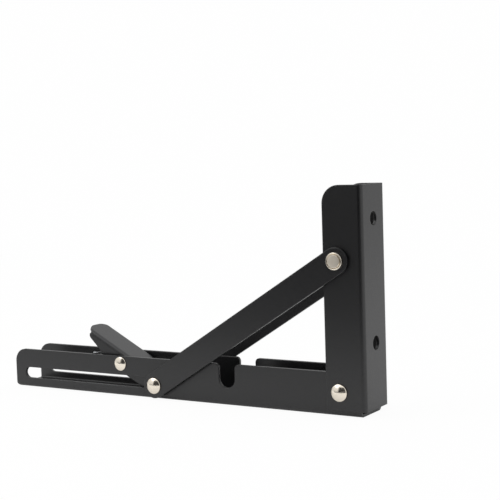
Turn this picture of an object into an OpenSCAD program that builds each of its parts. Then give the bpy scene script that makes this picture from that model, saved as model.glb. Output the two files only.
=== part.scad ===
// Folding shelf bracket with a release lever.
// It stands upside down: the shelf arm lies on its shelf face and the wall channel rises at the
// right. The arm folds about the hinge rivet into the wall channel. Two strut plates outside the
// channels carry a sliding pin in the arm's slots, and the lever blocks the pin when it is locked.
// X runs along the arm toward the wall, Y is the width, Z is up. The origin is under the middle.

/* [Sheet metal] */
// Thickness of the sheet of the arm and of the wall channel
sheet = 2; // [1.5:0.1:2.5]
// Inside radius of the bends of the arm and of the wall channel
bend_r = 1; // [0.6:0.1:2]
// Running gap between a rivet shank and its hole, on the radius
hole_clear = 0.1; // [0.05:0.01:0.15]
// Gap between two faces that slide on each other
face_clear = 0.1; // [0.05:0.01:0.2]

/* [Shelf arm] */
// Reach of the arm from the wall face
arm_length = 300; // [280:1:360]
// Outer width of the arm
arm_width = 30; // [27:0.5:36]
// Height of the arm's side flanges over the shelf face
arm_height = 29; // [28:0.5:33]
// Corner radius on top of the arm's free end
arm_nose_r = 9.5; // [5:0.5:11]
// Corner radius under the arm's free end
arm_toe_r = 3; // [1:0.5:4]
// Distance from the wall face to the arm's heel
heel_gap = 4.5; // [4:0.1:6]
// Diameter of the screw holes toward the shelf
shelf_hole_d = 5.5; // [4:0.1:7]
// Distance from the wall face to the first shelf screw hole
shelf_hole_first = 45; // [40:1:55]
// Pitch of the shelf screw holes
shelf_hole_pitch = 105; // [95:1:110]
// Number of the shelf screw holes
shelf_holes = 3; // [2:1:3]

/* [Wall channel] */
// Height of the wall channel's top over the shelf face
wall_top = 151.5; // [140:0.5:165]
// Gap from the shelf face up to the wall channel's foot
wall_foot = 4; // [3:0.5:5]
// Depth of the wall channel from the wall face
wall_depth = 28.5; // [27:0.5:31]
// Corner radius on top of the side flanges
wall_corner_r = 12; // [8:0.5:14]
// Gap between the arm's flange and the wall channel's flange
side_gap = 0.25; // [0.15:0.05:0.5]
// Diameter of the screw holes toward the wall
wall_hole_d = 9.4; // [7:0.1:10]
// Height of the lower wall screw hole over the shelf face
wall_hole_low = 47.5; // [44:0.5:52]
// Pitch of the two wall screw holes
wall_hole_pitch = 81.5; // [76:0.5:84]

/* [Hinge] */
// Distance from the wall face to the hinge rivet
hinge_back = 19; // [18.5:0.1:19.5]
// Height of the hinge rivet over the shelf face
hinge_rise = 16; // [15.5:0.1:16.5]
// Diameter of the hinge rivet's shank
hinge_pin_d = 6; // [5:0.1:6.5]

/* [Strut] */
// Height of the strut's rivet over the hinge rivet
strut_rise = 86.4; // [84:0.1:90]
// Diameter of the shank of the strut's rivet
strut_pin_d = 5.4; // [4.8:0.1:6]
// Width of a strut plate
strut_width = 18; // [16:0.5:19]
// Thickness of a strut plate
strut_sheet = 2; // [1.5:0.1:2.5]
// Gap between a strut plate and the wall channel
strut_gap = 0.3; // [0.2:0.05:0.4]

/* [Slide] */
// Distance from the hinge rivet to the locked sliding pin
lock_reach = 147.2; // [146:0.1:150]
// Diameter of the sliding pin
slide_pin_d = 6.4; // [6:0.1:7.2]
// Height of the slots
slot_height = 8.2; // [7.8:0.1:8.8]
// Height of the slots' lower edge over the shelf face
slot_rise = 7; // [6.6:0.1:7.4]
// Spare length of the slots beyond the sliding pin's outer place
slot_spare = 8.4; // [3:0.1:9]
// Diameter of the collar between the arm and a strut plate
collar_d = 11; // [10:0.1:12]

/* [Notch] */
// Width of the notch that takes the strut's rivet when folded
notch_width = 13.2; // [11:0.1:14]
// Gap between the strut's rivet and the notch
notch_clear = 0.5; // [0.4:0.05:0.8]
// Radius of the notch's mouth
notch_mouth_r = 3; // [1:0.5:4]

/* [Release lever] */
// Distance from the locked sliding pin to the lever's rivet
lever_back = 32.8; // [31.5:0.1:34]
// Height of the lever's rivet over the shelf face
lever_rise = 23.3; // [22.8:0.1:23.6]
// Diameter of the shank of the lever's rivet
lever_pin_d = 5; // [4.4:0.1:5.4]
// Slope of the lever at rest
lever_slope = 28; // [27:0.1:30]
// Gap between a cheek of the lever and the arm's flange
lever_gap = 1.2; // [0.8:0.1:2]
// Thickness of the lever's sheet
lever_sheet = 1.6; // [1.2:0.1:1.8]
// Height of the lever's top over its rivet
lever_top = 6.9; // [6.5:0.05:7.2]
// Depth of the lever's cheeks under its rivet
lever_skirt = 6.6; // [6:0.1:6.8]
// Length of the lever's tongue from the rivet
lever_tongue = 41; // [39:0.5:44]
// Corner radius of the tongue's tip in plan
tongue_r = 9; // [4:0.5:10]
// Length of the cheeks under the tongue from the rivet
lever_cheek = 36; // [33:0.5:38]
// Height of the cheeks' end under the tongue
cheek_end = 3.3; // [3:0.1:4.5]
// Corner radius of the cheeks' end
cheek_end_r = 3; // [1:0.5:3.5]
// Distance from the rivet to the knee of the cheeks' lower edge
cheek_knee = 8.4; // [7.5:0.1:10]
// Radius of that knee
cheek_knee_r = 9; // [4:0.5:14]
// Length of the lever's top behind the rivet
lever_tail_top = 13; // [10:0.5:15]
// Corner radius of the lever's top at that rear end in plan
lever_tail_r = 10; // [4:0.5:10]
// Gap between the tail's face and the sliding pin
lock_gap = 0.3; // [0.2:0.05:0.5]
// Diameter of the washers beside the lever
washer_d = 10; // [8:0.1:11]

/* [Rivet heads] */
// Diameter of the domed heads of the hinge rivet and of the sliding pin
dome_d = 11.6; // [10:0.1:12]
// Height of the domed heads
dome_h = 2.9; // [2:0.1:3.4]
// Diameter of the strut rivet's flat heads
flat_d = 11.6; // [10:0.1:12]
// Height of the strut rivet's flat heads
flat_h = 1.7; // [1.2:0.1:2.4]
// Diameter of the lever rivet's low heads
low_d = 10.2; // [9:0.1:11]
// Height of the lever rivet's low heads
low_h = 2; // [1.4:0.1:2.1]

/* [Spring] */
// Thickness of the spring's wire
wire_d = 1.3; // [1:0.1:1.4]
// Inner diameter of the spring's coil
coil_d = 7.1; // [6:0.1:7.2]
// Full turns of the spring's coil
coil_turns = 3; // [2:1:4]
// Gap between two turns of the coil
coil_gap = 0.15; // [0.05:0.05:0.3]
// Length of the leg that lies under the lever's top
leg_length = 24; // [15:1:30]
// Distance from the lever's rivet to the other leg's hook
hook_reach = 24.5; // [22:0.5:30]
// Height of that hook over the lever's rivet
hook_rise = 6.3; // [6:0.1:7]
// Gap between the hook and the arm's flange
hook_gap = 0.25; // [0.15:0.05:0.5]

/* [Hidden] */
$fn = 72;
coat = "#2c2d30";
nickel = "#d8d2c6";
steel = "#9a9b9d";

hinge_x = -hinge_back;
hinge_z = hinge_rise;
strut_x = hinge_x;
strut_z = hinge_z + strut_rise;
pin_x = hinge_x - lock_reach;
pin_z = slot_rise + face_clear + slide_pin_d/2;
lever_x = pin_x - lever_back;
lever_z = lever_rise;

// How far a shank reaches into its head, and the clearance at the sliding pin's ends
shank_bite = 0.2;
stub_clear = 3*face_clear;

// Widths, from the arm outward
arm_in = arm_width/2 - sheet;
wall_out = arm_width/2 + side_gap + sheet;
strut_in = wall_out + strut_gap;
strut_out = strut_in + strut_sheet;
lever_out = arm_in - lever_gap;

// Where the heads sit on the arm, on the wall channel and on the strut plates
arm_head = arm_width/2 + face_clear;
wall_head = wall_out + face_clear;
strut_head = strut_out + face_clear;

// Strut length, and the sliding pin's place along the arm when folded
strut_len = norm([lock_reach, strut_rise + hinge_z - pin_z]);
pin_drop = hinge_z - pin_z;
folded_reach = strut_rise + sqrt(strut_len*strut_len - pin_drop*pin_drop);
slot_z = slot_rise + slot_height/2;
slot_in_x = pin_x;
slot_out_x = hinge_x - folded_reach - slide_pin_d/2 - slot_spare + slot_height/2;

// The notch: the strut's rivet comes in at the flange's top edge and ends level with the hinge
rivet_r = strut_pin_d/2;
mouth_rise = arm_height - hinge_z + rivet_r;
mouth_reach = sqrt(strut_rise*strut_rise - mouth_rise*mouth_rise);
notch_in_x = hinge_x - mouth_reach + rivet_r + notch_clear;
notch_out_x = notch_in_x - notch_width;
notch_floor = hinge_z - rivet_r - 2*notch_clear;

// The lever's tail ends on an arc about its own rivet, so that it lifts past the pin
pin_from_lever = norm([lever_back, lever_z - pin_z]);
tail_r = pin_from_lever - slide_pin_d/2 - lock_gap;
lever_bend_r = 1;
lever_bend_out = lever_bend_r + lever_sheet;
lever_edge_r = 0.6;
heel_r = hinge_back - heel_gap;
coil_r = (coil_d + wire_d)/2;

// Moves the wall face from x = 0 to its place, so that the origin is under the middle
module from_wall() {
    translate([arm_length/2, 0, 0]) children();
}

// Extrudes a side view, drawn in X and Z, over a width about y = y_mid
module side_view(width, y_mid = 0) {
    translate([0, y_mid, 0]) rotate([90, 0, 0]) linear_extrude(height = width, center = true) children();
}

// A rod along Y
module rod(d, x, z, y0, y1) {
    translate([x, y1, z]) rotate([90, 0, 0]) cylinder(d = d, h = y1 - y0);
}

// What a fillet of radius r takes off a corner at the origin that opens to +X and +Y
module corner_cut(r) {
    difference() {
        translate([-1, -1]) square(r + 1);
        translate([r, r]) circle(r = r);
    }
}

// A rectangle with its own radius at each corner
module plate_outline(x0, y0, x1, y1, r_low_left = 0, r_low_right = 0, r_top_right = 0, r_top_left = 0) {
    difference() {
        translate([x0, y0]) square([x1 - x0, y1 - y0]);
        if (r_low_left > 0) translate([x0, y0]) corner_cut(r_low_left);
        if (r_low_right > 0) translate([x1, y0]) rotate(90) corner_cut(r_low_right);
        if (r_top_right > 0) translate([x1, y1]) rotate(180) corner_cut(r_top_right);
        if (r_top_left > 0) translate([x0, y1]) rotate(270) corner_cut(r_top_left);
    }
}

// Cross-section of a folded channel with its web at the bottom
module channel_section(w, h, t, r_in) {
    difference() {
        plate_outline(-w/2, 0, w/2, h, r_in + t, r_in + t);
        plate_outline(-w/2 + t, t, w/2 - t, h + 1, r_in, r_in);
    }
}

// A slot with round ends between two centres on one level
module slot_outline(x0, x1, z, h) {
    translate([x0, z - h/2]) square([x1 - x0, h]);
    translate([x0, z]) circle(d = h);
    translate([x1, z]) circle(d = h);
}

// The notch with its round floor and its mouth's radii
module notch_outline() {
    r = notch_width/2;
    translate([notch_out_x, notch_floor + r]) square([notch_width, arm_height]);
    translate([notch_out_x + r, notch_floor + r]) circle(r = r);
    translate([notch_out_x, arm_height]) rotate(180) corner_cut(notch_mouth_r);
    translate([notch_in_x, arm_height]) rotate(270) corner_cut(notch_mouth_r);
}

// Side view of the arm's flanges
module arm_side() {
    difference() {
        plate_outline(-arm_length, 0, -heel_gap, arm_height, arm_toe_r, 0, 0, arm_nose_r);
        difference() {
            translate([hinge_x, hinge_z]) square([hinge_back, arm_height]);
            translate([hinge_x, hinge_z]) circle(r = heel_r);
        }
        slot_outline(slot_out_x, slot_in_x, slot_z, slot_height);
        notch_outline();
    }
}

module shelf_arm() {
    color(coat) from_wall() difference() {
        intersection() {
            translate([-arm_length, 0, 0]) rotate([90, 0, 90])
                linear_extrude(height = arm_length) channel_section(arm_width, arm_height, sheet, bend_r);
            side_view(arm_width + 2) arm_side();
        }
        rod(hinge_pin_d + 2*hole_clear, hinge_x, hinge_z, -arm_width, arm_width);
        rod(lever_pin_d + 2*hole_clear, lever_x, lever_z, -arm_width, arm_width);
        for (i = [0 : shelf_holes - 1])
            translate([-shelf_hole_first - i*shelf_hole_pitch, 0, -1])
                cylinder(d = shelf_hole_d, h = sheet + 2);
    }
}

module wall_channel() {
    color(coat) from_wall() difference() {
        intersection() {
            translate([0, 0, wall_foot]) rotate([0, 0, 90])
                linear_extrude(height = wall_top - wall_foot)
                    channel_section(2*wall_out, wall_depth, sheet, bend_r);
            side_view(2*wall_out + 2)
                plate_outline(-wall_depth, wall_foot, 1, wall_top, 0, 0, 0, wall_corner_r);
        }
        rod(hinge_pin_d + 2*hole_clear, hinge_x, hinge_z, -2*wall_out, 2*wall_out);
        rod(strut_pin_d + 2*hole_clear, strut_x, strut_z, -2*wall_out, 2*wall_out);
        for (i = [0, 1])
            translate([-sheet - 1, 0, wall_hole_low + i*wall_hole_pitch]) rotate([0, 90, 0])
                cylinder(d = wall_hole_d, h = sheet + 2);
    }
}

// Side view of a strut plate: two round ends about the sliding pin and the strut's rivet
module strut_side() {
    translate([pin_x, pin_z]) rotate(atan2(strut_z - pin_z, strut_x - pin_x)) difference() {
        slot_outline(0, strut_len, 0, strut_width);
        circle(d = slide_pin_d);
        translate([strut_len, 0]) circle(d = strut_pin_d + 2*hole_clear);
    }
}

module strut_plate(side) {
    color(coat) from_wall() side_view(strut_sheet, side*(strut_in + strut_sheet/2)) strut_side();
}

module strut_plate_near() {
    strut_plate(-1);
}

module strut_plate_far() {
    strut_plate(1);
}

// Points of an arc of radius r about a centre, from one angle to another
function arc(c, r, a0, a1, n = 10) = [
    for (i = [0 : n])
        let (a = a0 + (a1 - a0)*i/n)
            c + r*[cos(a), sin(a)]
];

// A polygon's points with each corner p[i] rounded to radius p[i][2]
function unit(v) = v/norm(v);
function rounded(p, n = 8) = [
    for (i = [0 : len(p) - 1])
        let (
            c = [p[i][0], p[i][1]],
            a = p[(i + len(p) - 1) % len(p)],
            b = p[(i + 1) % len(p)],
            u = unit([a[0], a[1]] - c),
            v = unit([b[0], b[1]] - c),
            half = acos(u*v)/2,
            reach = p[i][2]/tan(half),
            mid = c + unit(u + v)*p[i][2]/sin(half),
            s = c + u*reach - mid,
            e = c + v*reach - mid,
            a0 = atan2(s[1], s[0]),
            turn = (atan2(e[1], e[0]) - a0 + 540) % 360 - 180
        )
        each p[i][2] > 0 ? arc(mid, p[i][2], a0, a0 + turn, n) : [c]
];

// Side view of the lever about its rivet with the handle level toward -X
module lever_side() {
    under = lever_top - lever_sheet;
    tail_top = lever_top - lever_bend_out;
    intersection() {
        polygon(rounded([
            [-lever_tongue, lever_top, 0],
            [-lever_tongue, under, 0],
            [-lever_cheek, under, lever_edge_r],
            [-lever_cheek, under - cheek_end, cheek_end_r],
            [-cheek_knee, -lever_skirt, cheek_knee_r],
            [tail_r + lever_sheet, -lever_skirt, 0],
            [tail_r + lever_sheet, tail_top, 0],
            [lever_tail_top, tail_top, lever_edge_r],
            [lever_tail_top, lever_top, lever_edge_r]
        ]));
        difference() {
            union() {
                circle(r = tail_r, $fn = 120);
                translate([-2*lever_tongue, -2*tail_r]) square([2*lever_tongue, 4*tail_r]);
            }
            circle(d = lever_pin_d + 2*hole_clear);
        }
    }
}

// Places a shape made about the lever's rivet at the lever's slope
module at_lever() {
    translate([lever_x, 0, lever_z]) rotate([0, lever_slope, 0]) children();
}

module release_lever() {
    color(coat) from_wall() at_lever() difference() {
        intersection() {
            translate([-2*lever_tongue, 0, lever_top]) rotate([90, 0, 90])
                linear_extrude(height = 4*lever_tongue) mirror([0, 1, 0])
                    channel_section(2*lever_out, 2*(lever_top + lever_skirt), lever_sheet, lever_bend_r);
            side_view(2*arm_in) lever_side();
        }
        // Round corners of the top in plan, at the tip and at its rear end
        translate([0, 0, lever_top - lever_bend_out]) linear_extrude(height = 4*lever_bend_out) {
            translate([-lever_tongue, -lever_out]) corner_cut(tongue_r);
            translate([-lever_tongue, lever_out]) rotate(270) corner_cut(tongue_r);
            translate([lever_tail_top, -lever_out]) rotate(90) corner_cut(lever_tail_r);
            translate([lever_tail_top, lever_out]) rotate(180) corner_cut(lever_tail_r);
        }
    }
}

// A domed head on a short rim, its flat side at z = 0
module dome_head(d, h) {
    rim = h*0.28;
    rise = h - rim;
    r = (d*d/4 + rise*rise)/(2*rise);
    rotate_extrude() {
        square([d/2, rim]);
        intersection() {
            translate([0, rim + rise - r]) circle(r = r);
            translate([0, rim]) square([d/2, rise]);
        }
    }
}

// A flat head with a rim round a slightly raised middle
module flat_head(d, h) {
    edge = h*0.25;
    rim = h*0.62;
    middle = d*0.36;
    groove = h*0.12;
    rotate_extrude() difference() {
        union() {
            square([d/2 - edge, rim]);
            square([d/2, rim - edge]);
            translate([d/2 - edge, rim - edge]) circle(r = edge);
            square([middle, h]);
        }
        translate([-d, -h]) square([d, 3*h]);
        translate([middle, rim]) circle(r = groove);
    }
}

// Sets a head on both sides, its flat side at y = -out and y = out
module heads(x, z, out) {
    translate([x, -out, z]) rotate([90, 0, 0]) children();
    translate([x, out, z]) rotate([-90, 0, 0]) children();
}

module hinge_rivet() {
    color(nickel) from_wall() {
        rod(hinge_pin_d, hinge_x, hinge_z, -wall_head - shank_bite, wall_head + shank_bite);
        heads(hinge_x, hinge_z, wall_head) dome_head(dome_d, dome_h);
    }
}

module strut_rivet() {
    color(nickel) from_wall() {
        rod(strut_pin_d, strut_x, strut_z, -strut_head - shank_bite, strut_head + shank_bite);
        heads(strut_x, strut_z, strut_head) flat_head(flat_d, flat_h);
    }
}

module lever_rivet() {
    color(nickel) from_wall() {
        rod(lever_pin_d, lever_x, lever_z, -arm_head - shank_bite, arm_head + shank_bite);
        heads(lever_x, lever_z, arm_head) dome_head(low_d, low_h);
    }
}

// The sliding pin on one side of the arm: it runs in the slot and stops short of the lever's cheek
module slide_pin(side) {
    y0 = lever_out + stub_clear;
    y1 = strut_in - stub_clear;
    color(nickel) from_wall() rod(slide_pin_d, pin_x, pin_z, side > 0 ? y0 : -y1, side > 0 ? y1 : -y0);
}

module slide_pin_near() {
    slide_pin(-1);
}

module slide_pin_far() {
    slide_pin(1);
}

// The collar that fills the space between the arm's flange and the strut plate
module slide_collar(side) {
    y0 = arm_head;
    y1 = strut_in - stub_clear;
    color(steel) from_wall() difference() {
        rod(collar_d, pin_x, pin_z, side > 0 ? y0 : -y1, side > 0 ? y1 : -y0);
        rod(slide_pin_d + 2*hole_clear, pin_x, pin_z, -2*strut_out, 2*strut_out);
    }
}

module slide_collar_near() {
    slide_collar(-1);
}

module slide_collar_far() {
    slide_collar(1);
}

// The sliding pin's domed head with its shank in the strut plate
module pin_head(side) {
    y0 = strut_in + face_clear;
    y1 = strut_head + shank_bite;
    color(nickel) from_wall() {
        rod(slide_pin_d - 2*hole_clear, pin_x, pin_z, side > 0 ? y0 : -y1, side > 0 ? y1 : -y0);
        translate([pin_x, side*strut_head, pin_z]) rotate([side > 0 ? -90 : 90, 0, 0])
            dome_head(dome_d, dome_h);
    }
}

module pin_head_near() {
    pin_head(-1);
}

module pin_head_far() {
    pin_head(1);
}

// A washer between the lever's cheek and the arm's flange
module lever_washer(side) {
    y0 = lever_out + face_clear;
    y1 = arm_in - face_clear;
    color(steel) from_wall() difference() {
        rod(washer_d, lever_x, lever_z, side > 0 ? y0 : -y1, side > 0 ? y1 : -y0);
        rod(lever_pin_d + 2*hole_clear, lever_x, lever_z, -arm_width, arm_width);
    }
}

module lever_washer_near() {
    lever_washer(-1);
}

module lever_washer_far() {
    lever_washer(1);
}

// The torsion spring's wire about the lever's rivet, from the tip of the leg under the handle,
// round the coil and out to the leg that ends beside the near flange
coil_pitch = wire_d + coil_gap;
hook = [-hook_reach, hook_rise];
coil_start = 90 - lever_slope;
coil_end = atan2(hook[1], hook[0]) + acos(coil_r/norm(hook)) - 360;
coil_sweep = coil_start - coil_end + 360*coil_turns;
coil_half = coil_pitch*coil_sweep/720;
coil_steps = 20*coil_turns + 10;
up_dir = [-cos(lever_slope), 0, sin(lever_slope)];
function on_coil(a, y) = [coil_r*cos(a), y, coil_r*sin(a)];
leave = on_coil(coil_end, -coil_half);
hook_y = -arm_in + wire_d/2 + hook_gap;
wire_path = [
    on_coil(coil_start, coil_half) + leg_length*up_dir,
    on_coil(coil_start, coil_half) + 0.5*leg_length*up_dir,
    for (i = [0 : coil_steps])
        on_coil(coil_start - coil_sweep*i/coil_steps, coil_half - 2*coil_half*i/coil_steps),
    leave + 0.45*([hook[0], -coil_half, hook[1]] - leave),
    [0.86*hook[0], -coil_half - wire_d/2, 0.9*hook[1]],
    [0.93*hook[0], 0.5*(hook_y - coil_half), 0.97*hook[1]],
    [hook[0], hook_y, hook[1]],
    [hook[0] - 1.5*wire_d, hook_y, hook[1]]
];

// A round wire swept along a path of points, as one closed body
module wire(path, d, sides = 8) {
    n = len(path);
    dirs = [for (i = [0 : n - 1]) unit(path[min(i + 1, n - 1)] - path[max(i - 1, 0)])];
    rings = [
        for (i = [0 : n - 1])
            let (p = unit(cross(dirs[i], [0, 1, 0.001])), q = cross(p, dirs[i]))
            for (k = [0 : sides - 1])
                path[i] + d/2*(cos(360*k/sides)*p + sin(360*k/sides)*q)
    ];
    polyhedron(points = rings, faces = concat(
        [[for (k = [0 : sides - 1]) k]],
        [[for (k = [sides - 1 : -1 : 0]) (n - 1)*sides + k]],
        [for (i = [0 : n - 2]) for (k = [0 : sides - 1]) let (m = (k + 1) % sides)
            [i*sides + k, (i + 1)*sides + k, (i + 1)*sides + m, i*sides + m]]
    ), convexity = 6);
}

module lever_spring() {
    color(steel) from_wall() translate([lever_x, 0, lever_z]) wire(wire_path, wire_d);
}

wall_channel();
shelf_arm();
strut_plate_near();
strut_plate_far();
release_lever();
hinge_rivet();
strut_rivet();
lever_rivet();
slide_pin_near();
slide_pin_far();
slide_collar_near();
slide_collar_far();
pin_head_near();
pin_head_far();
lever_washer_near();
lever_washer_far();
lever_spring();
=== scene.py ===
"""Folding shelf bracket with a release lever: finishes, fine pieces and a plain studio stage.

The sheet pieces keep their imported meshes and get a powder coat. The rivets, the sliding pin's heads
and the spring's wire are replaced by finer surfaces at the same places.
"""

import bpy
import numpy as np
from bpy.props import (
    FloatProperty,
    FloatVectorProperty,
    IntProperty,
    PointerProperty,
    StringProperty,
)
from mathutils import Matrix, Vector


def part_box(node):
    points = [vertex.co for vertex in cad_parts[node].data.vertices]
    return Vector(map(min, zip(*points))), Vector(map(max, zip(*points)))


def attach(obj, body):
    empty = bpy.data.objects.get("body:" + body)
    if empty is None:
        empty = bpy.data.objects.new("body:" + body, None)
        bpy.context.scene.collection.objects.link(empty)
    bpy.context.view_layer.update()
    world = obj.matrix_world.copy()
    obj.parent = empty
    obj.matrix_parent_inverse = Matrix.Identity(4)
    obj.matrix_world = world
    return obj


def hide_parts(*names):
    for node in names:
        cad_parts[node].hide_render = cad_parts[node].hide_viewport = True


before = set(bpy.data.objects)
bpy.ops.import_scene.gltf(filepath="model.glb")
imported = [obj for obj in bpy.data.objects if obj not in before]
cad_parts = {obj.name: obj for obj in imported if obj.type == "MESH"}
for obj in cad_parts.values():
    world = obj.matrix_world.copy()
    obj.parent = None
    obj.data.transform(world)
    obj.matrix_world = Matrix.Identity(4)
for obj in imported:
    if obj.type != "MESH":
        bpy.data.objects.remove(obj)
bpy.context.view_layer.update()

bl_info = {
    "name": "Folding Shelf Bracket",
    "version": (1, 0, 0),
    "blender": (4, 5, 0),
    "location": "3D View > Sidebar > Bracket",
    "description": "Finishes, rivets, spring and stage of a folding shelf bracket",
    "category": "Object",
}

MM = 0.001

SHARP_EDGE = np.radians(35)  # smooth shading breaks where faces meet more sharply than this
TURNED_SIDES = 96            # points round a rivet
WIRE_SIDES = 20              # points round the spring's wire
DOME_STEPS = 28              # points along a dome, from its pole to its shoulder
RING_STEPS = 14              # points over the ring of a flat head
FILLET_STEPS = 8             # points round a dome's shoulder
FOOT_STEPS = 5               # points round the foot of a head
TURN_STEPS = 60              # points along one turn of the spring's coil
LEG_STEPS = 12               # points along the spring's straight leg
HOOK_STEPS = 40              # points along the spring's other leg

WHITE = (1, 1, 1, 1)
FRAME_WIDTH = 36             # width of the camera's frame in millimetres


def middle(node):
    """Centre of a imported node's box, in metres."""
    low, high = (np.array(corner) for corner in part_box(node))
    return (low + high)/2


def linear(hex_colour):
    """An sRGB hex colour as linear red, green, blue and alpha."""
    srgb = np.array([int(hex_colour[i:i + 2], 16) for i in (1, 3, 5)])/255
    light = np.where(srgb <= 0.04045, srgb/12.92, ((srgb + 0.055)/1.055)**2.4)
    return (*light.tolist(), 1.0)


def add_node(tree, kind, place=(0, 0), inputs=None, **settings):
    """Adds a node, sets its properties, and sets or links its inputs by name or number."""
    node = tree.nodes.new(kind)
    node.location = place
    for key, value in settings.items():
        setattr(node, key, value)
    for key, value in (inputs or {}).items():
        if isinstance(value, bpy.types.NodeSocket):
            tree.links.new(value, node.inputs[key])
        else:
            node.inputs[key].default_value = value
    return node


def new_material(name):
    """An empty node material, its tree and its output node."""
    material = bpy.data.materials.new(name)
    material.use_nodes = True
    tree = material.node_tree
    tree.nodes.clear()
    output = add_node(tree, "ShaderNodeOutputMaterial", (900, 0))
    return material, tree, output


def placed(right, up, back, place):
    """Matrix of a lamp or camera from its three axes and its place."""
    rows = [[right[i], up[i], back[i], place[i]] for i in range(3)]
    return Matrix([*rows, [0, 0, 0, 1]])


# Surfaces

def closed_surface(name, rings, start, end):
    """Mesh object from a grid of rings, closed by a fan of triangles to a point at either end.

    The points are numbered ring by ring. Each quad joins a point to the next one on its ring and to
    the same two on the ring after it.
    """
    rows, columns = rings.shape[:2]
    points = np.concatenate([rings.reshape(-1, 3), [start, end]])
    ring = np.arange(rows - 1)[:, None]*columns
    here = np.arange(columns)
    after = (here + 1) % columns
    quads = np.stack(
        [ring + here, ring + after, ring + columns + after, ring + columns + here], axis=-1)
    last_ring = (rows - 1)*columns
    start_number, end_number = np.full((2, columns), rows*columns) + [[0], [1]]
    start_fan = np.stack([after, here, start_number], axis=1)
    end_fan = np.stack([last_ring + here, last_ring + after, end_number], axis=1)
    faces = quads.reshape(-1, 4).tolist() + start_fan.tolist() + end_fan.tolist()
    mesh = bpy.data.meshes.new(name)
    mesh.from_pydata(points.tolist(), [], faces)
    mesh.shade_smooth()
    mesh.set_sharp_from_angle(angle=SHARP_EDGE)
    piece = bpy.data.objects.new(name, mesh)
    bpy.context.collection.objects.link(piece)
    return piece


def revolved(name, profile, centre):
    """Surface of revolution about an axis along Y.

    Each profile point is a distance from the axis and a place along Y, in order of Y. The ring of a
    point at radius r is centre + (r cos t, y, -r sin t), with t going once round.
    """
    turn = np.linspace(0, 2*np.pi, TURNED_SIDES, endpoint=False)
    radius = profile[1:-1, 0][:, None]
    along = profile[1:-1, 1][:, None]
    rings = np.stack([
        centre[0] + radius*np.cos(turn),
        centre[1] + np.broadcast_to(along, (len(radius), TURNED_SIDES)),
        centre[2] - radius*np.sin(turn),
    ], axis=-1)
    start = centre + np.array([0, profile[0, 1], 0])
    end = centre + np.array([0, profile[-1, 1], 0])
    return closed_surface(name, rings, start, end)


def swept(name, path, radius):
    """Round wire along a path, with rounded ends.

    At each point of the path the ring is point + radius (cos t a + sin t b), where a is the path's
    direction crossed with Y, and b is the direction crossed with a. Beyond each end two smaller
    rings follow a half ball, r cos g from its axis and r sin g past the end for a height g.
    """
    near_y = [0, 1, 0.001]       # tipped off Y, so that it can't line up with the wire
    ball = np.radians([70, 40])  # heights of the two rings on the half ball
    step = np.gradient(path, axis=0)
    ahead = step/np.linalg.norm(step, axis=1)[:, None]
    side = np.cross(ahead, near_y)
    side /= np.linalg.norm(side, axis=1)[:, None]
    up = np.cross(ahead, side)
    cap_radius = radius*np.cos(ball)
    cap_reach = radius*np.sin(ball)[:, None]
    centres = np.concatenate([
        path[0] - cap_reach*ahead[0],
        path,
        path[-1] + cap_reach[::-1]*ahead[-1],
    ])
    radii = np.concatenate([cap_radius, np.full(len(path), radius), cap_radius[::-1]])
    side = np.concatenate([side[:1], side[:1], side, side[-1:], side[-1:]])[:, None, :]
    up = np.concatenate([up[:1], up[:1], up, up[-1:], up[-1:]])[:, None, :]
    turn = np.linspace(0, 2*np.pi, WIRE_SIDES, endpoint=False)[None, :, None]
    rings = centres[:, None, :] + radii[:, None, None]*(np.cos(turn)*side + np.sin(turn)*up)
    return closed_surface(name, rings, path[0] - radius*ahead[0], path[-1] + radius*ahead[-1])


def arc(centre, radius, start, stop, steps):
    """Points centre + radius (cos a, sin a), with a going from start to stop in degrees."""
    angle = np.radians(np.linspace(start, stop, steps))[:, None]
    return np.array(centre) + radius*np.concatenate([np.cos(angle), np.sin(angle)], axis=1)


def smooth_curve(place, points, where):
    """Cubic curve through points, with the slope at each point taken from its two neighbours."""
    slopes = np.gradient(points, place, axis=0)
    i = np.clip(np.searchsorted(place, where, side="right") - 1, 0, len(place) - 2)
    width = (place[i + 1] - place[i])[:, None]
    t = (where - place[i])[:, None]/width
    return ((2*t**3 - 3*t**2 + 1)*points[i] + (t**3 - 2*t**2 + t)*width*slopes[i]
            + (3*t**2 - 2*t**3)*points[i + 1] + (t**3 - t**2)*width*slopes[i + 1])


# Outlines of the heads, from the pole to the seat, as distance from the axis and height

def domed_head(radius, height, rim, fillet):
    """Half outline of a domed head.

    The dome is an arc of radius (c c + r r)/(2 c) over its rise c. A small fillet leads from it
    into a short straight rim, which is rounded in again at the seat.
    """
    rise = height - rim
    sphere = (rise*rise + radius*radius)/(2*rise)
    edge = np.arccos((radius - fillet)/(sphere - fillet))
    dome = arc((0, height - sphere), sphere, 90, np.degrees(edge), DOME_STEPS)
    turn = dome[-1] - fillet*np.array([np.cos(edge), np.sin(edge)])
    shoulder = arc(turn, fillet, np.degrees(edge), 0, FILLET_STEPS)[1:]
    foot = arc((shoulder[-1, 0] - fillet/2, fillet/2), fillet/2, 0, -90, FOOT_STEPS)
    return np.concatenate([dome, shoulder, foot])


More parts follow.
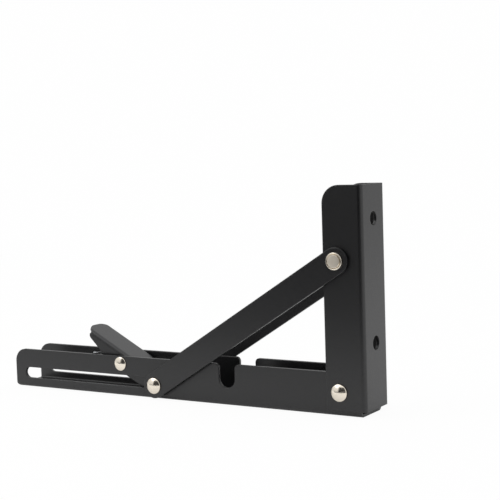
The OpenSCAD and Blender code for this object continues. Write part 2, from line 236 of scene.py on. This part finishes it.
def flat_head(radius, height, disc, ring):
    """Half outline of a spun flat head: a raised disc, a shallow groove and a round ring about it.

    The disc and the ring are given as the radii of the disc and of the ring's inner edge. The ring
    is a bead, a circle that fits between its inner edge and the rim.
    """
    bead = (radius - ring)/2
    lip = 0.12*bead         # rounding of the disc's edge
    hem = 0.3*bead          # rounding at the seat
    sunk = 0.45*bead        # the ring's top below the disc
    bottom = height - sunk - bead
    disc_top = [[0, height], [disc/2, height], [disc, height]]
    disc_edge = arc((disc, height - lip), lip, 90, 0, FOOT_STEPS - 1)[1:]
    groove = [[disc + 0.3*bead, bottom], [ring - 0.2*bead, bottom]]
    round_ring = arc((radius - bead, bottom), bead, 170, 0, RING_STEPS)
    foot = arc((radius - hem, hem), hem, 0, -90, FOOT_STEPS - 1)
    return np.concatenate([disc_top, disc_edge, groove, round_ring, foot])


def rivet_outline(head, seat, shank):
    """Outline of a rivet along Y from pole to pole: a head, the shank between the seats, a head."""
    near = np.stack([head[:, 0], -seat - head[:, 1]], axis=1)
    far = np.stack([head[::-1, 0], seat + head[::-1, 1]], axis=1)
    return np.concatenate([near, [[shank/2, -seat], [shank/2, seat]], far])


def spring_path(settings):
    """Middle line of the torsion spring, in metres.

    A straight leg lies under the lever and meets the coil at a tangent. The coil is the helix
    (r cos a, y, r sin a) about the lever's rivet, with y falling evenly as a falls. The other leg
    leaves at a tangent and is a smooth curve through a few points up to its hook beside the near
    flange.
    """
    radius = (settings.coil + settings.wire)/2
    hook = np.array(settings.hook)
    first = np.pi/2 - settings.slope
    reach = np.hypot(hook[0], hook[2])
    last = np.arctan2(hook[2], hook[0]) + np.arccos(radius/reach) - 2*np.pi
    sweep = first - last + 2*np.pi*settings.turns
    half = settings.pitch*sweep/(4*np.pi)
    angle = np.linspace(first, first - sweep, TURN_STEPS*settings.turns)
    coil = np.stack([
        radius*np.cos(angle),
        np.linspace(half, -half, len(angle)),
        radius*np.sin(angle),
    ], axis=1)
    nearly_there = 0.4*MM  # the straight leg's last point is this far from the coil's first
    away = np.array([-np.cos(settings.slope), 0, np.sin(settings.slope)])
    straight = coil[0] + np.linspace(settings.leg, nearly_there, LEG_STEPS)[:, None]*away
    leave = coil[-1]
    level_way = (hook - leave)*[1, 0, 1]
    points = np.array([
        leave,
        leave + 0.45*level_way,                                # still level with the coil's end
        [0.86*hook[0], -half - settings.wire/2, 0.9*hook[2]],  # starts to step out to the flange
        [0.93*hook[0], (hook[1] - half)/2, 0.97*hook[2]],      # halfway out
        hook,
        hook - [1.5*settings.wire, 0, 0],                      # tip of the hook
    ])
    place = np.cumsum([0, *np.linalg.norm(np.diff(points, axis=0), axis=1)])
    bent = smooth_curve(place, points, np.linspace(0, place[-1], HOOK_STEPS)[1:])
    return middle("lever_rivet") + np.concatenate([straight, coil, bent])


# Finishes

def powder_coat(settings):
    """Matt black polyester powder, sprayed on steel and baked.

    It gives the eye a deep charcoal with a broad soft sheen and a faint orange peel.
    """
    relief = 0.05*MM  # height of the waves and of the grains at full strength
    spread = 0.06     # how far the roughness departs from its middle value, either way
    material, tree, output = new_material("powder_coat")
    place = add_node(tree, "ShaderNodeTexCoord", (-900, 0)).outputs["Object"]
    # The baked film pulls into low waves, far apart beside its thickness
    peel = add_node(tree, "ShaderNodeTexNoise", (-650, -250),
                    {"Vector": place, "Scale": 1/settings.peel, "Detail": 2.0, "Roughness": 0.5})
    # Grains of powder that did not flow out, drawn coarser than their true 0.05 mm so as to show
    grain = add_node(tree, "ShaderNodeTexNoise", (-650, -500),
                     {"Vector": place, "Scale": 1/settings.grain, "Detail": 1.0, "Roughness": 0.6})
    # Film thickness drifts over centimetres, which shifts the black by a shade
    drift = add_node(tree, "ShaderNodeTexNoise", (-650, 150),
                     {"Vector": place, "Scale": 1/settings.drift, "Detail": 3.0})
    shade = add_node(tree, "ShaderNodeMix", (-100, 200),
                     {"Factor": drift.outputs["Fac"], "A": linear(settings.thin_hex),
                      "B": linear(settings.thick_hex)}, data_type="RGBA")
    gloss = add_node(tree, "ShaderNodeMapRange", (-350, -100),
                     {"Value": grain.outputs["Fac"], "To Min": settings.roughness - spread,
                      "To Max": settings.roughness + spread})
    # The film rounds the cut edges of the sheet, which then catch a thin line of light. It is drawn
    # wider than the true 0.3 mm so as to show
    edge = add_node(tree, "ShaderNodeBevel", (-350, -700), {"Radius": settings.edge}, samples=6)
    waves = add_node(tree, "ShaderNodeBump", (100, -350),
                     {"Height": peel.outputs["Fac"], "Strength": settings.waves,
                      "Distance": relief, "Normal": edge.outputs["Normal"]})
    specks = add_node(tree, "ShaderNodeBump", (300, -450),
                      {"Height": grain.outputs["Fac"], "Strength": settings.specks,
                       "Distance": relief, "Normal": waves.outputs["Normal"]})
    shader = add_node(tree, "ShaderNodeBsdfPrincipled", (600, 0),
                      {"Base Color": shade.outputs["Result"], "Roughness": gloss.outputs["Result"],
                       "IOR": settings.index, "Normal": specks.outputs["Normal"]})
    tree.links.new(shader.outputs["BSDF"], output.inputs["Surface"])
    return material


def nickel_plate(settings, name, roughness, marks):
    """Nickel-plated steel rivets, headed cold and tumbled, or spun flat, which leaves them duller.

    It gives the eye a bright, slightly warm mirror with soft tumbling marks.
    """
    clear, dull = roughness - 0.05, roughness + 0.08
    relief = 0.03*MM  # height of the dents at full strength
    material, tree, output = new_material(name)
    place = add_node(tree, "ShaderNodeTexCoord", (-900, 0)).outputs["Object"]
    # Dents from other rivets in the tumbler break up what the head reflects
    dents = add_node(tree, "ShaderNodeTexNoise", (-650, -250),
                     {"Vector": place, "Scale": 1/settings.dent, "Detail": 2.0})
    # Handling leaves patches that are a little duller
    haze = add_node(tree, "ShaderNodeTexNoise", (-650, 100),
                    {"Vector": place, "Scale": 1/settings.haze, "Detail": 4.0})
    gloss = add_node(tree, "ShaderNodeMapRange", (-350, 100),
                     {"Value": haze.outputs["Fac"], "To Min": clear, "To Max": dull})
    dented = add_node(tree, "ShaderNodeBump", (100, -300),
                      {"Height": dents.outputs["Fac"], "Strength": marks, "Distance": relief})
    shader = add_node(tree, "ShaderNodeBsdfPrincipled", (600, 0),
                      {"Base Color": linear(settings.nickel_hex), "Metallic": 1.0,
                       "Roughness": gloss.outputs["Result"], "Normal": dented.outputs["Normal"]})
    tree.links.new(shader.outputs["BSDF"], output.inputs["Surface"])
    return material


def zinc_plate(settings):
    """Bright zinc plate on drawn wire, washers and the sliding pin.

    It gives the eye a cool grey metal, duller than the nickel heads.
    """
    spread = 0.07  # how far the roughness departs from its middle value, either way
    material, tree, output = new_material("zinc_plate")
    place = add_node(tree, "ShaderNodeTexCoord", (-900, 0)).outputs["Object"]
    # Clusters of zinc crystals differ in gloss
    crystals = add_node(tree, "ShaderNodeTexNoise", (-650, 0),
                        {"Vector": place, "Scale": 1/settings.crystal, "Detail": 3.0})
    gloss = add_node(tree, "ShaderNodeMapRange", (-350, 0),
                     {"Value": crystals.outputs["Fac"], "To Min": settings.roughness - spread,
                      "To Max": settings.roughness + spread})
    shader = add_node(tree, "ShaderNodeBsdfPrincipled", (600, 0),
                      {"Base Color": linear(settings.zinc_hex), "Metallic": 1.0,
                       "Roughness": gloss.outputs["Result"]})
    tree.links.new(shader.outputs["BSDF"], output.inputs["Surface"])
    return material


def dress(node, material):
    """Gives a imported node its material."""
    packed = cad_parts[node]
    packed.data.materials.clear()
    packed.data.materials.append(material)


def stand_in(piece, material, node, body):
    """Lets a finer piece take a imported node's place on its body."""
    piece.data.materials.append(material)
    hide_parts(node)
    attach(piece, body)


def spin_discs(piece, node, material, radius):
    """Gives both end faces of a rivet their own finish, out to a radius from its axis along Y."""
    mesh = piece.data
    mesh.materials.append(material)
    centres = np.empty(3*len(mesh.polygons))
    mesh.polygons.foreach_get("center", centres)
    x, y, z = (centres.reshape(-1, 3) - middle(node)).T
    at_an_end = np.abs(y) > 0.9*np.abs(y).max()
    on_the_disc = np.hypot(x, z) < radius
    mesh.polygons.foreach_set("material_index", (at_an_end & on_the_disc).astype(int))


# Settings

class CoatSettings(bpy.types.PropertyGroup):
    thin_hex: StringProperty(
        name="Thin film", description="Coat colour where the film is thin", default="#131315")
    thick_hex: StringProperty(
        name="Thick film", description="Coat colour where the film is thick", default="#0f0f11")
    roughness: FloatProperty(
        name="Roughness", description="Roughness of the coat",
        default=0.36, min=0, max=1, subtype="FACTOR")
    index: FloatProperty(
        name="Refraction", description="Refractive index of the baked powder", default=1.62, min=1)
    peel: FloatProperty(
        name="Orange peel", description="Spacing of the coat's low waves",
        default=1.6*MM, unit="LENGTH")
    grain: FloatProperty(
        name="Grain", description="Spacing of the powder grains", default=0.9*MM, unit="LENGTH")
    waves: FloatProperty(
        name="Waves", description="Strength of the orange peel",
        default=0.25, min=0, max=1, subtype="FACTOR")
    specks: FloatProperty(
        name="Specks", description="Strength of the powder grains",
        default=0.6, min=0, max=1, subtype="FACTOR")
    drift: FloatProperty(
        name="Drift", description="Spacing of the colour drift", default=60*MM, unit="LENGTH")
    edge: FloatProperty(
        name="Edge radius", description="Rounding of the coated edges",
        default=1*MM, unit="LENGTH")


class RivetSettings(bpy.types.PropertyGroup):
    nickel_hex: StringProperty(
        name="Nickel", description="Colour of the nickel plate", default="#f4ebdc")
    roughness: FloatProperty(
        name="Roughness", description="Roughness of the domed heads",
        default=0.17, min=0, max=1, subtype="FACTOR")
    spun_roughness: FloatProperty(
        name="Spun roughness", description="Roughness of the spun discs",
        default=0.45, min=0, max=1, subtype="FACTOR")
    marks: FloatProperty(
        name="Marks", description="Strength of the tumbling marks",
        default=0.3, min=0, max=1, subtype="FACTOR")
    spun_marks: FloatProperty(
        name="Spun marks", description="Strength of the marks on the spun discs",
        default=1, min=0, max=1, subtype="FACTOR")
    dent: FloatProperty(
        name="Dents", description="Spacing of the tumbling marks",
        default=1.2*MM, unit="LENGTH")
    haze: FloatProperty(
        name="Haze", description="Spacing of the dull patches", default=3*MM, unit="LENGTH")
    rim_share: FloatProperty(
        name="Rim", description="Share of a domed head's height that is its straight rim",
        default=0.8/2.9, min=0, max=1, subtype="FACTOR")
    fillet: FloatProperty(
        name="Shoulder", description="Radius between a dome and its rim",
        default=0.6*MM, unit="LENGTH")
    disc: FloatProperty(
        name="Disc", description="Diameter of the raised disc on the flat heads",
        default=8.6*MM, unit="LENGTH")
    ring: FloatProperty(
        name="Ring", description="Inner diameter of the ring on the flat heads",
        default=9.6*MM, unit="LENGTH")
    hinge_shank: FloatProperty(
        name="Hinge shank", description="Thickness of the hinge rivet's shank",
        default=6*MM, unit="LENGTH")
    strut_shank: FloatProperty(
        name="Strut shank", description="Thickness of the strut rivet's shank",
        default=5.4*MM, unit="LENGTH")
    lever_shank: FloatProperty(
        name="Lever shank", description="Thickness of the lever rivet's shank",
        default=5*MM, unit="LENGTH")
    pin_shank: FloatProperty(
        name="Pin shank", description="Thickness of the sliding pin in its heads",
        default=6.2*MM, unit="LENGTH")
    seat_gap: FloatProperty(
        name="Seat gap", description="Gap between a head and the sheet under it",
        default=0.1*MM, unit="LENGTH")


class FittingSettings(bpy.types.PropertyGroup):
    zinc_hex: StringProperty(
        name="Zinc", description="Colour of the zinc plate", default="#b9bbbd")
    roughness: FloatProperty(
        name="Roughness", description="Roughness of the zinc plate",
        default=0.35, min=0, max=1, subtype="FACTOR")
    crystal: FloatProperty(
        name="Crystals", description="Spacing of the zinc's crystals",
        default=0.8*MM, unit="LENGTH")
    wire: FloatProperty(
        name="Wire", description="Thickness of the spring's wire", default=1.3*MM, unit="LENGTH")
    coil: FloatProperty(
        name="Coil", description="Inner diameter of the spring's coil",
        default=7.1*MM, unit="LENGTH")
    pitch: FloatProperty(
        name="Pitch", description="Pitch of the spring's turns", default=1.45*MM, unit="LENGTH")
    turns: IntProperty(
        name="Turns", description="Full turns of the spring's coil", default=3)
    slope: FloatProperty(
        name="Slope", description="Slope of the leg under the lever",
        default=np.radians(28), unit="ROTATION")
    leg: FloatProperty(
        name="Leg", description="Length of the leg under the lever",
        default=24*MM, unit="LENGTH")
    hook: FloatVectorProperty(
        name="Hook", description="Hook of the other leg, from the lever's rivet",
        default=(-24.5*MM, -12.1*MM, 6.3*MM), unit="LENGTH")


class StageSettings(bpy.types.PropertyGroup):
    camera: FloatVectorProperty(
        name="Camera", description="Place of the camera",
        default=(0.4944, -0.7163, 0.1745), unit="LENGTH")
    heading: FloatProperty(
        name="Heading", description="Turn of the view to the left of straight on",
        default=np.radians(31.49), unit="ROTATION")
    pitch: FloatProperty(
        name="Pitch", description="Downward tilt of the view",
        default=np.radians(4.6), unit="ROTATION")
    roll: FloatProperty(
        name="Roll", description="Turn of the camera about its view",
        default=np.radians(-1.81), unit="ROTATION")
    lens: FloatProperty(
        name="Lens", description="Focal length on a 36 mm wide frame", default=87.95, unit="CAMERA")
    floor: FloatVectorProperty(
        name="Floor", description="Reach of the floor to either side, to the back and to the front",
        default=(4, 0.9, 0.26), unit="LENGTH")
    drop: FloatProperty(
        name="Floor drop", description="Drop of the floor below the shelf face",
        default=0.2*MM, unit="LENGTH")
    floor_hex: StringProperty(
        name="Floor colour", description="Colour of the floor", default="#fafafa")
    floor_seen: FloatProperty(
        name="Floor white", description="Share of plain white in the floor that the camera sees",
        default=0.95, min=0, max=1, subtype="FACTOR")
    floor_glossy: FloatProperty(
        name="Floor reflected", description="Share of plain white in the floor that coats reflect",
        default=0.3, min=0, max=1, subtype="FACTOR")
    backdrop: FloatProperty(
        name="Backdrop", description="Strength of the plain white that the camera sees",
        default=0.995)
    backdrop_glossy: FloatProperty(
        name="Backdrop reflected",
        description="Share of the plain white that coats and metal reflect",
        default=0.03, min=0, max=1, subtype="FACTOR")
    ceiling: FloatProperty(
        name="Ceiling", description="Strength of the light from above", default=1)
    walls: FloatProperty(
        name="Walls", description="Strength of the light from the walls at the horizon",
        default=0.7)
    rise: FloatProperty(
        name="Rise", description="Height at which the light reaches the ceiling's strength",
        default=np.radians(45), unit="ROTATION")
    dark: FloatProperty(
        name="Dark", description="Strength of the light from the dark openings", default=0.005)
    low_bearing: FloatVectorProperty(
        name="Low bearing", description="Bearings of the low dark opening's sides",
        size=2, default=np.radians((-60, 58)).tolist(), unit="ROTATION")
    low_height: FloatVectorProperty(
        name="Low height", description="Heights of the low dark opening's foot and top",
        size=2, default=np.radians((-60, 2)).tolist(), unit="ROTATION")
    low_soft: FloatProperty(
        name="Low edge", description="Width of the soft edge of the low dark opening",
        default=np.radians(8), unit="ROTATION")
    high_bearing: FloatVectorProperty(
        name="High bearing", description="Bearings of the high dark opening's sides",
        size=2, default=np.radians((-20, 44)).tolist(), unit="ROTATION")
    high_height: FloatVectorProperty(
        name="High height", description="Heights of the high dark opening's foot and top",
        size=2, default=np.radians((-10, 42)).tolist(), unit="ROTATION")
    high_soft: FloatProperty(
        name="High edge", description="Width of the soft edge of the high dark opening",
        default=np.radians(10), unit="ROTATION")
    lamp: FloatVectorProperty(
        name="Lamp", description="Place of the soft lamp", default=(-0.5, -0.5, 0.9), unit="LENGTH")
    lamp_aim: FloatVectorProperty(
        name="Lamp aim", description="Point that the soft lamp faces",
        default=(0, 0, 0.06), unit="LENGTH")
    lamp_side: FloatProperty(
        name="Lamp side", description="Side of the square soft lamp", default=0.7, unit="LENGTH")
    lamp_power: FloatProperty(
        name="Lamp power", description="Power of the soft lamp", default=2, unit="POWER")


# Operators

class BRACKET_OT_coat(bpy.types.Operator):
    """Gives the folded sheet pieces their powder coat"""
    bl_idname = "bracket.coat"
    bl_label = "Coat Sheet Pieces"

    def execute(self, context):
        coat = powder_coat(context.scene.bracket_coat)
        for node in ("wall_channel", "shelf_arm", "strut_plate_near", "strut_plate_far",
                     "release_lever"):
            dress(node, coat)
        return {"FINISHED"}


class BRACKET_OT_rivets(bpy.types.Operator):
    """Makes the rivets and the sliding pin's heads and gives them their nickel plate"""
    bl_idname = "bracket.rivets"
    bl_label = "Finish Rivets"

    def execute(self, context):
        settings = context.scene.bracket_rivets
        nickel = nickel_plate(settings, "nickel_plate", settings.roughness, settings.marks)
        spun = nickel_plate(
            settings, "spun_nickel_plate", settings.spun_roughness, settings.spun_marks)
        # Each rivet has its heads on the outer faces of a sheet piece
        for node, body, sheet, shank in (
                ("hinge_rivet", "wall", "wall_channel", settings.hinge_shank),
                ("strut_rivet", "wall", "strut_plate_far", settings.strut_shank),
                ("lever_rivet", "arm", "shelf_arm", settings.lever_shank)):
            low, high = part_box(node)
            radius = (high[0] - low[0])/2
            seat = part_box(sheet)[1][1] + settings.seat_gap
            height = high[1] - seat
            flat = node == "strut_rivet"
            if flat:
                head = flat_head(radius, height, settings.disc/2, settings.ring/2)
            else:
                head = domed_head(radius, height, settings.rim_share*height, settings.fillet)
            rivet = revolved(node + "_turned", rivet_outline(head, seat, shank), middle(node))
            stand_in(rivet, nickel, node, body)
            if flat:
                spin_discs(rivet, node, spun, settings.disc/2)
        # Each head of the sliding pin has a short root inside its strut plate
        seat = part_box("strut_plate_far")[1][1] + settings.seat_gap
        shank = settings.pin_shank/2
        for side, node in ((-1, "pin_head_near"), (1, "pin_head_far")):
            low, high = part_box(node)
            radius = (high[0] - low[0])/2
            root, tip = sorted((abs(low[1]), abs(high[1])))
            height = tip - seat
            head = domed_head(radius, height, settings.rim_share*height, settings.fillet)
            outward = np.concatenate([head + [0, seat], [[shank, seat], [shank, root], [0, root]]])
            outline = outward if side < 0 else outward[::-1]
            centre = middle(node)
            outline = np.stack([outline[:, 0], side*outline[:, 1] - centre[1]], axis=1)
            stand_in(revolved(node + "_turned", outline, centre), nickel, node, "strut")
        return {"FINISHED"}


class BRACKET_OT_fittings(bpy.types.Operator):
    """Makes the spring and gives it, the slide's pieces and the washers their zinc plate"""
    bl_idname = "bracket.fittings"
    bl_label = "Finish Slide and Spring"

    def execute(self, context):
        settings = context.scene.bracket_fittings
        zinc = zinc_plate(settings)
        for node in ("slide_pin_near", "slide_pin_far", "slide_collar_near", "slide_collar_far",
                     "lever_washer_near", "lever_washer_far"):
            dress(node, zinc)
        wire = swept("spring_wire", spring_path(settings), settings.wire/2)
        stand_in(wire, zinc, "lever_spring", "lever")
        return {"FINISHED"}


# Stage

def background_share(tree, seen, reflected):
    """Share of plain white in what a ray meets: seen, directly or through glass, or reflected."""
    path = add_node(tree, "ShaderNodeLightPath", (-800, 300))
    direct = add_node(tree, "ShaderNodeMath", (-600, 300),
                      {0: path.outputs["Is Camera Ray"], 1: path.outputs["Is Transmission Ray"]},
                      operation="MAXIMUM")
    plain = add_node(tree, "ShaderNodeMath", (-400, 300), {0: direct.outputs[0], 1: seen},
                     operation="MULTIPLY")
    share = add_node(tree, "ShaderNodeMath", (-200, 300),
                     {0: path.outputs["Is Glossy Ray"], 1: reflected, 2: plain.outputs[0]},
                     operation="MULTIPLY_ADD")
    return share.outputs[0]


def pale_floor(settings):
    """Matt white studio floor, which the camera sees almost white with a faint shadow."""
    material, tree, output = new_material("pale_floor")
    share = background_share(tree, settings.floor_seen, settings.floor_glossy)
    matt = add_node(tree, "ShaderNodeBsdfDiffuse", (0, 0), {"Color": linear(settings.floor_hex)})
    white = add_node(tree, "ShaderNodeEmission", (0, -200), {"Color": WHITE, "Strength": 1.0})
    mixed = add_node(tree, "ShaderNodeMixShader", (400, 0),
                     {0: share, 1: matt.outputs[0], 2: white.outputs[0]})
    tree.links.new(mixed.outputs[0], output.inputs["Surface"])
    return material


def studio_world(settings):
    """White light from all round, with two dark openings in front; the camera sees plain white.

    A direction's bearing is atan2(x, -y), from straight in front toward the right, and its height
    is asin(z). The light rises smoothly from the walls' level at the horizon to the ceiling's. Each
    opening is the product of four soft steps, over two bearings and two heights: the low wide one
    is the dark room beyond the floor's edge, and the high narrow one is its unlit upper part.
    """
    world = bpy.data.worlds.new("studio")
    bpy.context.scene.world = world
    world.use_nodes = True
    tree = world.node_tree
    tree.nodes.clear()
    output = add_node(tree, "ShaderNodeOutputWorld", (900, 0))
    way = add_node(tree, "ShaderNodeTexCoord", (-1600, 0)).outputs["Generated"]
    part = add_node(tree, "ShaderNodeSeparateXYZ", (-1400, 0), {"Vector": way})
    front = add_node(tree, "ShaderNodeMath", (-1200, -100), {0: part.outputs["Y"], 1: -1.0},
                     operation="MULTIPLY")
    bearing = add_node(tree, "ShaderNodeMath", (-1000, 0),
                       {0: part.outputs["X"], 1: front.outputs[0]}, operation="ARCTAN2")
    height = add_node(tree, "ShaderNodeMath", (-1000, -300), {0: part.outputs["Z"]},
                      operation="ARCSINE")
    openings = []
    for bearings, heights, soft in (
            (settings.low_bearing, settings.low_height, settings.low_soft),
            (settings.high_bearing, settings.high_height, settings.high_soft)):
        inside = 1.0
        for value, (low, high) in ((bearing, bearings), (height, heights)):
            for edge, rise in ((low, soft), (high, -soft)):
                step = add_node(tree, "ShaderNodeMapRange", (-700, 0),
                                {"Value": value.outputs[0], "From Min": edge - rise/2,
                                 "From Max": edge + rise/2}, interpolation_type="SMOOTHSTEP")
                inside = add_node(tree, "ShaderNodeMath", (-500, 0),
                                  {0: inside, 1: step.outputs[0]}, operation="MULTIPLY").outputs[0]
        openings.append(inside)
    darkest = add_node(tree, "ShaderNodeMath", (-200, 0), {0: openings[0], 1: openings[1]},
                       operation="MAXIMUM")
    around = add_node(tree, "ShaderNodeMapRange", (-200, -300),
                      {"Value": height.outputs[0], "From Max": settings.rise,
                       "To Min": settings.walls, "To Max": settings.ceiling},
                      interpolation_type="SMOOTHSTEP")
    level = add_node(tree, "ShaderNodeMapRange", (0, 0),
                     {"Value": darkest.outputs[0], "To Min": around.outputs[0],
                      "To Max": settings.dark})
    share = background_share(tree, 1.0, settings.backdrop_glossy)
    shown = add_node(tree, "ShaderNodeMix", (200, 200),
                     {"Factor": share, "A": level.outputs[0], "B": settings.backdrop})
    light = add_node(tree, "ShaderNodeBackground", (400, 0),
                     {"Color": WHITE, "Strength": shown.outputs[0]})
    tree.links.new(light.outputs[0], output.inputs["Surface"])


def flat_floor(settings):
    """Level rectangle under the bracket."""
    side, back, front = settings.floor
    level = -settings.drop
    corners = [(x, y, level) for x, y in (
        (-side, -front), (side, -front), (side, back), (-side, back))]
    mesh = bpy.data.meshes.new("floor")
    mesh.from_pydata(corners, [], [(0, 1, 2, 3)])
    mesh.materials.append(pale_floor(settings))
    floor = bpy.data.objects.new("floor", mesh)
    bpy.context.collection.objects.link(floor)


def soft_lamp(settings):
    """Square lamp that faces a point."""
    lamp = bpy.data.lights.new("key_lamp", "AREA")
    lamp.size = settings.lamp_side
    lamp.energy = settings.lamp_power
    place = np.array(settings.lamp)
    back = place - np.array(settings.lamp_aim)
    back /= np.linalg.norm(back)
    right = np.cross([0, 0, 1], back)
    right /= np.linalg.norm(right)
    holder = bpy.data.objects.new("key_lamp", lamp)
    bpy.context.collection.objects.link(holder)
    holder.matrix_world = placed(right, np.cross(back, right), back, place)


def product_camera(settings):
    """Camera that looks along +Y, turned left by the heading, down by the pitch and then rolled."""
    heading, pitch, roll = settings.heading, settings.pitch, settings.roll
    level_right = np.array([np.cos(heading), np.sin(heading), 0])
    level_forward = np.array([-np.sin(heading), np.cos(heading), 0])
    forward = level_forward*np.cos(pitch) + [0, 0, -np.sin(pitch)]
    level_up = np.cross(level_right, forward)
    right = level_right*np.cos(roll) + level_up*np.sin(roll)
    up = level_up*np.cos(roll) - level_right*np.sin(roll)
    lens = bpy.data.cameras.new("camera")
    lens.sensor_width = FRAME_WIDTH
    lens.lens = settings.lens
    lens.clip_start = 10*MM
    camera = bpy.data.objects.new("camera", lens)
    bpy.context.collection.objects.link(camera)
    camera.matrix_world = placed(right, up, -forward, settings.camera)
    bpy.context.scene.camera = camera


class BRACKET_OT_stage(bpy.types.Operator):
    """Makes the floor, the soft light and the camera"""
    bl_idname = "bracket.stage"
    bl_label = "Make Stage"

    def execute(self, context):
        settings = context.scene.bracket_stage
        flat_floor(settings)
        studio_world(settings)
        soft_lamp(settings)
        product_camera(settings)
        context.scene.view_settings.view_transform = "Standard"
        return {"FINISHED"}


class BRACKET_PT_panel(bpy.types.Panel):
    bl_idname = "BRACKET_PT_panel"
    bl_label = "Folding Shelf Bracket"
    bl_space_type = "VIEW_3D"
    bl_region_type = "UI"
    bl_category = "Bracket"

    def draw(self, context):
        for operator in OPERATORS:
            self.layout.operator(operator.bl_idname)


SETTINGS = {
    "bracket_coat": CoatSettings,
    "bracket_rivets": RivetSettings,
    "bracket_fittings": FittingSettings,
    "bracket_stage": StageSettings,
}
OPERATORS = (BRACKET_OT_coat, BRACKET_OT_rivets, BRACKET_OT_fittings, BRACKET_OT_stage)


def register():
    for kind in (*SETTINGS.values(), *OPERATORS, BRACKET_PT_panel):
        bpy.utils.register_class(kind)
    for name, kind in SETTINGS.items():
        setattr(bpy.types.Scene, name, PointerProperty(type=kind))


def unregister():
    for name in SETTINGS:
        delattr(bpy.types.Scene, name)
    for kind in (BRACKET_PT_panel, *reversed(OPERATORS), *reversed(SETTINGS.values())):
        bpy.utils.unregister_class(kind)


def main():
    register()
    bpy.ops.bracket.coat()
    bpy.ops.bracket.rivets()
    bpy.ops.bracket.fittings()
    bpy.ops.bracket.stage()


if __name__ == "__main__":
    main()
